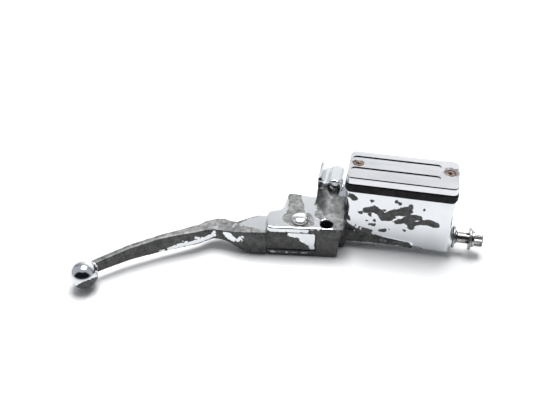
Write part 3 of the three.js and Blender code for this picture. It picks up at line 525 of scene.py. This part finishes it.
black_rubber = rubber()
zinc_plate = plated("zinc plate", (0.42, 0.41, 0.37), (0.62, 0.61, 0.57))
dark_plate = plated("dark plate", (0.20, 0.20, 0.20), (0.46, 0.46, 0.45), 0.16)
soft_washer = plated("crush washer", (0.27, 0.27, 0.27), (0.46, 0.46, 0.45), 0.26)
turned = plated("turned alloy", (0.56, 0.57, 0.58), (0.74, 0.75, 0.76), 0.22)
bronze = plated("bearing bronze", (0.34, 0.22, 0.10), (0.52, 0.36, 0.18), 0.32)
rust_screw = rusty()
bright = plain_chrome()

finishes = {
    "cover_screw_left": rust_screw, "cover_screw_right": rust_screw,
    "diaphragm": black_rubber, "diaphragm_plate": plastic(), "port_baffle": zinc_plate,
    "sight_glass_ring": bright, "sight_glass": glass(), "lever_bushing": bronze,
    "pivot_bolt": bright, "pivot_nut": zinc_plate, "piston": turned, "snap_ring": zinc_plate,
    "piston_stop_washer": zinc_plate, "secondary_cup": black_rubber,
    "primary_cup": black_rubber, "spring_seat": zinc_plate, "return_spring": zinc_plate,
    "dust_boot": black_rubber, "banjo_washer_inner": soft_washer,
    "banjo_washer_outer": soft_washer, "banjo_bolt": dark_plate,
}
for node, material in finishes.items():
    wear(node, material)
for name in nodes:
    if name not in ("cylinder_body", "brake_lever"):
        shade_by_angle(nodes[name])

# %% [markdown]
# ## Turned pieces
# Bolts and washers come off a lathe, so here they are turned again with a finer cut than the
# solids: a profile of radius and place along the axis is swept round, and the radius may also
# depend on the angle, which gives screw threads and fluted heads from the same tool.

# %% A lathe
def turn(name, node, body, profile, centre, axis, steps=96, shape=None):
    """Sweeps [radius, along] in mm about an axis of X, Y or Z through `centre` in mm. `shape` may
    change a radius by its angle and place. The profile runs from one end to the other."""
    fine_profile = []
    for (r0, h0), (r1, h1) in zip(profile, profile[1:]):
        cuts = max(1, int(abs(h1 - h0) / 0.16)) if shape else 1
        for i in range(cuts):
            fine_profile.append((r0 + (r1 - r0) * i / cuts, h0 + (h1 - h0) * i / cuts))
    fine_profile.append(profile[-1])
    shell = bmesh.new()
    rings = []
    for r, h in fine_profile:
        ring = []
        for i in range(steps):
            a = 2 * math.pi * i / steps
            rr = shape(r, a, h) if shape and r > 0.01 else r
            u, v = rr * math.cos(a), rr * math.sin(a)
            offset = {"X": (h, u, v), "Y": (v, h, u), "Z": (u, v, h)}[axis]
            ring.append(shell.verts.new([(c + o) * MM for c, o in zip(centre, offset)]))
        rings.append(ring)
    for low, high in zip(rings, rings[1:]):
        for i in range(steps):
            j = (i + 1) % steps
            shell.faces.new((low[i], low[j], high[j], high[i]))
    shell.faces.new(rings[0][::-1])
    shell.faces.new(rings[-1])
    bmesh.ops.remove_doubles(shell, verts=shell.verts, dist=1e-7)
    bmesh.ops.dissolve_degenerate(shell, edges=shell.edges, dist=1e-7)
    bmesh.ops.recalc_face_normals(shell, faces=shell.faces)
    mesh = bpy.data.meshes.new(name)
    shell.to_mesh(mesh)
    shell.free()
    piece = bpy.data.objects.new(name, mesh)
    bpy.context.scene.collection.objects.link(piece)
    shade_by_angle(piece, 40)
    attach(piece, body)
    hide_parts(node)
    for material in nodes[node].data.materials:
        piece.data.materials.append(material)
    return piece


def arc(r, r_centre, h_centre, start, end, steps=5):
    """Points of a rounded edge in a profile; angles in degrees from the outward direction."""
    angles = [math.radians(start + (end - start) * i / steps) for i in range(steps + 1)]
    return [(r_centre + r * math.cos(a), h_centre + r * math.sin(a)) for a in angles]


def limits(node, axis):
    low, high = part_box(node)
    k = "XYZ".index(axis)
    return low[k] / MM, high[k] / MM


# %% [markdown]
# ### Pivot bolt
# A shoulder bolt with a low polished dome. Only the dome shows, with a short straight rim under it
# and a dark line where it sits on the fork.

# %% Pivot bolt
PIVOT = (-19.6, -47.0, 0.0)
base, crown = limits("pivot_bolt", "Z")
DOME_HEIGHT = 2.4
RIM_HEIGHT = 1.3
rim = crown - DOME_HEIGHT
seat = rim - RIM_HEIGHT


def pivot_thread(r, a, h):
    if h < base + 0.5 or h > base + 2.6 or r > 3.3:
        return r
    saw = (h / 1.0 - a / (2 * math.pi)) % 1.0
    return r - 0.42 * (1 - abs(2 * saw - 1))


turn("pivot_bolt_turned", "pivot_bolt", "cylinder", [
    (0, base), (2.8, base), (3.1, base + 0.4), (3.1, base + 2.9), (4.0, base + 3.0), (4.0, seat),
    (5.9, seat), *arc(0.25, 5.85, seat + 0.25, -90, 0, 3), (6.1, rim),
    *[(6.1 * math.cos(math.radians(t)), rim + DOME_HEIGHT * math.sin(math.radians(t)))
      for t in range(9, 90, 9)], (0, crown),
], PIVOT, "Z", shape=pivot_thread)
print("pivot bolt head rises", round(crown - seat, 2), "mm")

# %% [markdown]
# ### Crush washers
# Soft metal rings, squeezed against the port. Their edges are round from stamping.

# %% Crush washers
BORE = (0.0, -28.0, -8.8)
for node in ("banjo_washer_inner", "banjo_washer_outer"):
    start, end = limits(node, "X")
    turn(node + "_turned", node, "cylinder", [
        (5.15, start), (7.6, start), *arc(0.4, 7.6, start + 0.4, -90, 0, 4),
        *arc(0.4, 7.6, end - 0.4, 0, 90, 4), (5.15, end), (5.15, start),
    ], BORE, "X")

# %% [markdown]
# ### Banjo bolt
# The hollow bolt carries fluid from its drilled core out through cross holes under the head. The
# thread is M10, cut here as a true spiral. The head has eight flutes and a broken top edge.

# %% Banjo bolt
tip, top = limits("banjo_bolt", "X")
HEAD_HEIGHT = 6.0
FLANGE_HEIGHT = 1.7
FLUTES = 8
FLUTE_DEPTH = 1.0
flange = top - HEAD_HEIGHT - FLANGE_HEIGHT


def banjo_shape(r, a, h):
    if tip + 0.6 < h < tip + 12.6 and 4.2 < r < 5:
        saw = (h / 1.0 - a / (2 * math.pi)) % 1.0
        return r - 0.55 * (1 - abs(2 * saw - 1))
    if h > flange + 2.0 and r > 3.6:
        return r - FLUTE_DEPTH * (0.5 + 0.5 * math.cos(FLUTES * a)) ** 0.8
    return r


bolt = turn("banjo_bolt_turned", "banjo_bolt", "cylinder", [
    (1.9, flange - 1), (1.9, tip), (4.1, tip), (4.85, tip + 0.8), (4.85, tip + 12.9),
    (3.85, tip + 13.9), (3.85, flange), (5.6, flange), *arc(0.3, 5.6, flange + 0.3, -90, 0, 3),
    *arc(0.4, 5.5, flange + 1.3, 0, 90, 4), (5.3, flange + 1.75), (5.3, top - 0.7),
    *arc(0.7, 4.6, top - 0.7, 0, 90, 4), (2.2, top), (1.9, top - 0.35), (0, top - 0.35),
], BORE, "X", steps=120, shape=banjo_shape)
for k, (name, turned_by) in enumerate([("down", (0, 0, 0)), ("across", (math.pi / 2, 0, 0))]):
    drill_mesh = bmesh.new()
    bmesh.ops.create_cone(drill_mesh, cap_ends=True, segments=32, radius1=1.3 * MM,
                          radius2=1.3 * MM, depth=16 * MM)
    drill_data = bpy.data.meshes.new("drill " + name)
    drill_mesh.to_mesh(drill_data)
    drill_mesh.free()
    drill = bpy.data.objects.new("drill_" + name, drill_data)
    drill.location = ((flange - 3) * MM, BORE[1] * MM, BORE[2] * MM)
    drill.rotation_euler = turned_by
    bpy.context.scene.collection.objects.link(drill)
    cut = bolt.modifiers.new("cross hole " + name, "BOOLEAN")
    cut.object = drill
    cut.operation = "DIFFERENCE"
bpy.context.view_layer.update()
drilled = bpy.data.meshes.new_from_object(
    bolt.evaluated_get(bpy.context.evaluated_depsgraph_get()))
bolt.modifiers.clear()
bolt.data = drilled
for name in ("drill_down", "drill_across"):
    bpy.data.objects.remove(bpy.data.objects[name])
shade_by_angle(bolt, 40)
print("banjo bolt:", len(bolt.data.vertices), "points, thread pitch 1 mm")

# %% [markdown]
# ### Lid screws
# Countersunk cross-head screws. The recess is a tapered cross, and years of wet have left rust in
# it. Their threads run down into the posts of the reservoir.

# %% Lid screws
def screw_thread(start, end):
    def shape(r, a, h):
        if not start < h < end or r > 2.45 or r < 2.2:
            return r
        saw = (h / 0.8 - a / (2 * math.pi)) % 1.0
        return r - 0.4 * (1 - abs(2 * saw - 1))
    return shape


for node in ("cover_screw_left", "cover_screw_right"):
    low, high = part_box(node)
    at = ((low.x + high.x) / 2 / MM, (low.y + high.y) / 2 / MM, 0.0)
    bottom, lid = low.z / MM, high.z / MM
    screw = turn(node + "_turned", node, "cylinder", [
        (0, bottom), (1.6, bottom), (2.4, bottom + 0.8), (2.4, lid - 2.4), (3.7, lid - 0.5),
        (3.7, lid - 0.25), *arc(0.5, 3.2, lid - 0.5, 0, 90, 4), (0, lid),
    ], at, "Z", steps=64, shape=screw_thread(bottom + 0.8, bottom + 14))
    cross = bmesh.new()
    for quarter in (0, 1):
        made = bmesh.ops.create_cube(cross, size=1.0)["verts"]
        for corner in made:
            wide = corner.co.z > 0
            corner.co.x *= (4.6 if wide else 2.6) * MM
            corner.co.y *= (1.15 if wide else 0.8) * MM
            corner.co.z *= 3.0 * MM
            if quarter:
                corner.co.x, corner.co.y = -corner.co.y, corner.co.x
            corner.co += Vector((at[0] * MM, at[1] * MM, lid * MM))
    cross_data = bpy.data.meshes.new("cross")
    cross.to_mesh(cross_data)
    cross.free()
    punch = bpy.data.objects.new("punch", cross_data)
    bpy.context.scene.collection.objects.link(punch)
    cut = screw.modifiers.new("cross recess", "BOOLEAN")
    cut.object = punch
    cut.use_self = True
    bpy.context.view_layer.update()
    punched = bpy.data.meshes.new_from_object(
        screw.evaluated_get(bpy.context.evaluated_depsgraph_get()))
    screw.modifiers.clear()
    screw.data = punched
    bpy.data.objects.remove(punch)
    shade_by_angle(screw, 40)
    print(screw.name, len(punched.vertices), "points")

# %% [markdown]
# ### Broken edges
# The lid, the rubber rim, the nut and the glass keep their solids, with their edges rounded a
# little, as machining and moulding leave them.

# %% Broken edges
round_edges("reservoir_cover", 0.00022, 2)
round_edges("diaphragm", 0.0003, 2)
for node in ("pivot_nut", "diaphragm_plate", "port_baffle", "sight_glass_ring", "lever_bushing"):
    round_edges(node, 0.00015, 2)

# %% [markdown]
# ### Spring and boot
# Two pieces are squeezed when the lever is pulled: the return spring in the bore, and the rubber
# boot that keeps dirt off the piston. The record says which they are; each is copied as it stands
# into a mesh of its own that moves with the cylinder, and is not flattened.

# %% Spring and boot
for joint in frame["record"]["behaviour"]["joints"]:
    for soft in joint.get("deforming_nodes", []):
        node = soft["node"]
        squeezed_mesh = bpy.data.meshes.new_from_object(
            nodes[node].evaluated_get(bpy.context.evaluated_depsgraph_get()))
        squeezed = bpy.data.objects.new(node + "_squeezed", squeezed_mesh)
        bpy.context.scene.collection.objects.link(squeezed)
        shade_by_angle(squeezed, 40)
        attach(squeezed, "cylinder")
        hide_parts(node)
        low, high = limits(node, "X")
        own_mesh(squeezed)

# %% [markdown]

# %% [markdown]
# ## Table and light
# A white sweep and a large soft light: the chrome is only as good as what it mirrors. A broad
# panel overhead and behind gives the pale top faces and the soft shadow that falls forward.

# %% Table
lo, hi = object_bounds()
floor_z = lo.z - 0.0002
sweep = bpy.data.meshes.new("sweep")
outline = [(-3.0, 0.0), (0.75, 0.0)]
for i in range(1, 17):
    a = math.radians(90 * i / 16)
    outline.append((0.75 + 0.5 * math.sin(a), 0.5 - 0.5 * math.cos(a)))
outline.append((1.25, 2.2))
points = [(x, y, floor_z + z) for y, z in outline for x in (-3.0, 3.0)]
faces = [(2 * i, 2 * i + 1, 2 * i + 3, 2 * i + 2) for i in range(len(outline) - 1)]
sweep.from_pydata(points, [], faces)
for face in sweep.polygons:
    face.use_smooth = True
table = bpy.data.objects.new("table", sweep)
bpy.context.scene.collection.objects.link(table)
paper = Finish("white table")
table.data.materials.append(paper.surface(
    Base_Color=paper.ramp(paper.noise(3, 2, 0.5), [(0.3, 0.86), (0.7, 0.88)]), Roughness=0.6,
))

# %% Lights
def panel(name, place, aim, width, height, watts, tint=(1, 1, 1)):
    light = bpy.data.lights.new(name, "AREA")
    light.shape = "RECTANGLE"
    light.size = width
    light.size_y = height
    light.energy = watts
    light.color = tint
    lamp = bpy.data.objects.new(name, light)
    lamp.location = place
    lamp.rotation_mode = "QUATERNION"
    lamp.rotation_quaternion = (Vector(aim) - Vector(place)).to_track_quat("-Z", "Y")
    bpy.context.scene.collection.objects.link(lamp)
    return lamp


middle = (lo + hi) / 2
panel("overhead", (-0.06, 0.26, 1.2), middle, 0.8, 0.7, 21)
panel("on the backdrop", (0.0, 0.55, 0.75), (0.0, 1.3, 0.75), 1.8, 0.5, 9)

room = bpy.data.worlds.new("room")
bpy.context.scene.world = room
room.use_nodes = True
tree = room.node_tree
sky = tree.nodes["Background"]
sky.inputs["Strength"].default_value = 1.0


def sky_math(operation, a, b=0.0, clamp=False):
    step = tree.nodes.new("ShaderNodeMath")
    step.operation = operation
    step.use_clamp = clamp
    for socket, value in zip(step.inputs, (a, b)):
        if isinstance(value, bpy.types.NodeSocket):
            tree.links.new(value, socket)
        else:
            socket.default_value = value
    return step.outputs[0]


direction = tree.nodes.new("ShaderNodeTexCoord").outputs["Generated"]
facing = tree.nodes.new("ShaderNodeVectorMath")
facing.operation = "DOT_PRODUCT"
tree.links.new(direction, facing.inputs[0])
facing.inputs[1].default_value = (0.19, -0.98, 0.0)
axes = tree.nodes.new("ShaderNodeSeparateXYZ")
tree.links.new(direction, axes.inputs[0])
height = axes.outputs["Z"]
near = sky_math("MULTIPLY", sky_math("SUBTRACT", facing.outputs["Value"], 0.26), 6.0, clamp=True)
low_edge = sky_math("MULTIPLY", sky_math("SUBTRACT", height, 0.07), 10.0, clamp=True)
high_edge = sky_math("MULTIPLY", sky_math("SUBTRACT", 0.95, height), 8.0, clamp=True)
dark = sky_math("MULTIPLY", near, sky_math("MULTIPLY", low_edge, high_edge))
blend = tree.nodes.new("ShaderNodeMix")
blend.data_type = "RGBA"
tree.links.new(dark, blend.inputs[0])
blend.inputs[6].default_value = (0.54, 0.56, 0.59, 1)
blend.inputs[7].default_value = (0.012, 0.012, 0.014, 1)
tree.links.new(blend.outputs[2], sky.inputs["Color"])

# %% [markdown]
# ## Camera
# A tabletop view from above the front of the motorcycle, a little from the hose side, so the
# lever reaches towards the viewer and the lid shows its grooves.

# %% Camera
def look(place, tilt_down, turn, lens):
    data = bpy.data.cameras.new("camera")
    data.sensor_width = 36.0
    data.lens = lens
    data.clip_start = 0.01
    camera = bpy.data.objects.new("camera", data)
    camera.location = place
    camera.rotation_euler = (math.radians(90 - tilt_down), 0, math.radians(turn))
    bpy.context.scene.collection.objects.link(camera)
    bpy.context.scene.camera = camera
    return camera


look((0.0401, -0.4314, 0.3277), 38.7, 11.44, 47.13)
bpy.context.scene.view_settings.view_transform = "Standard"
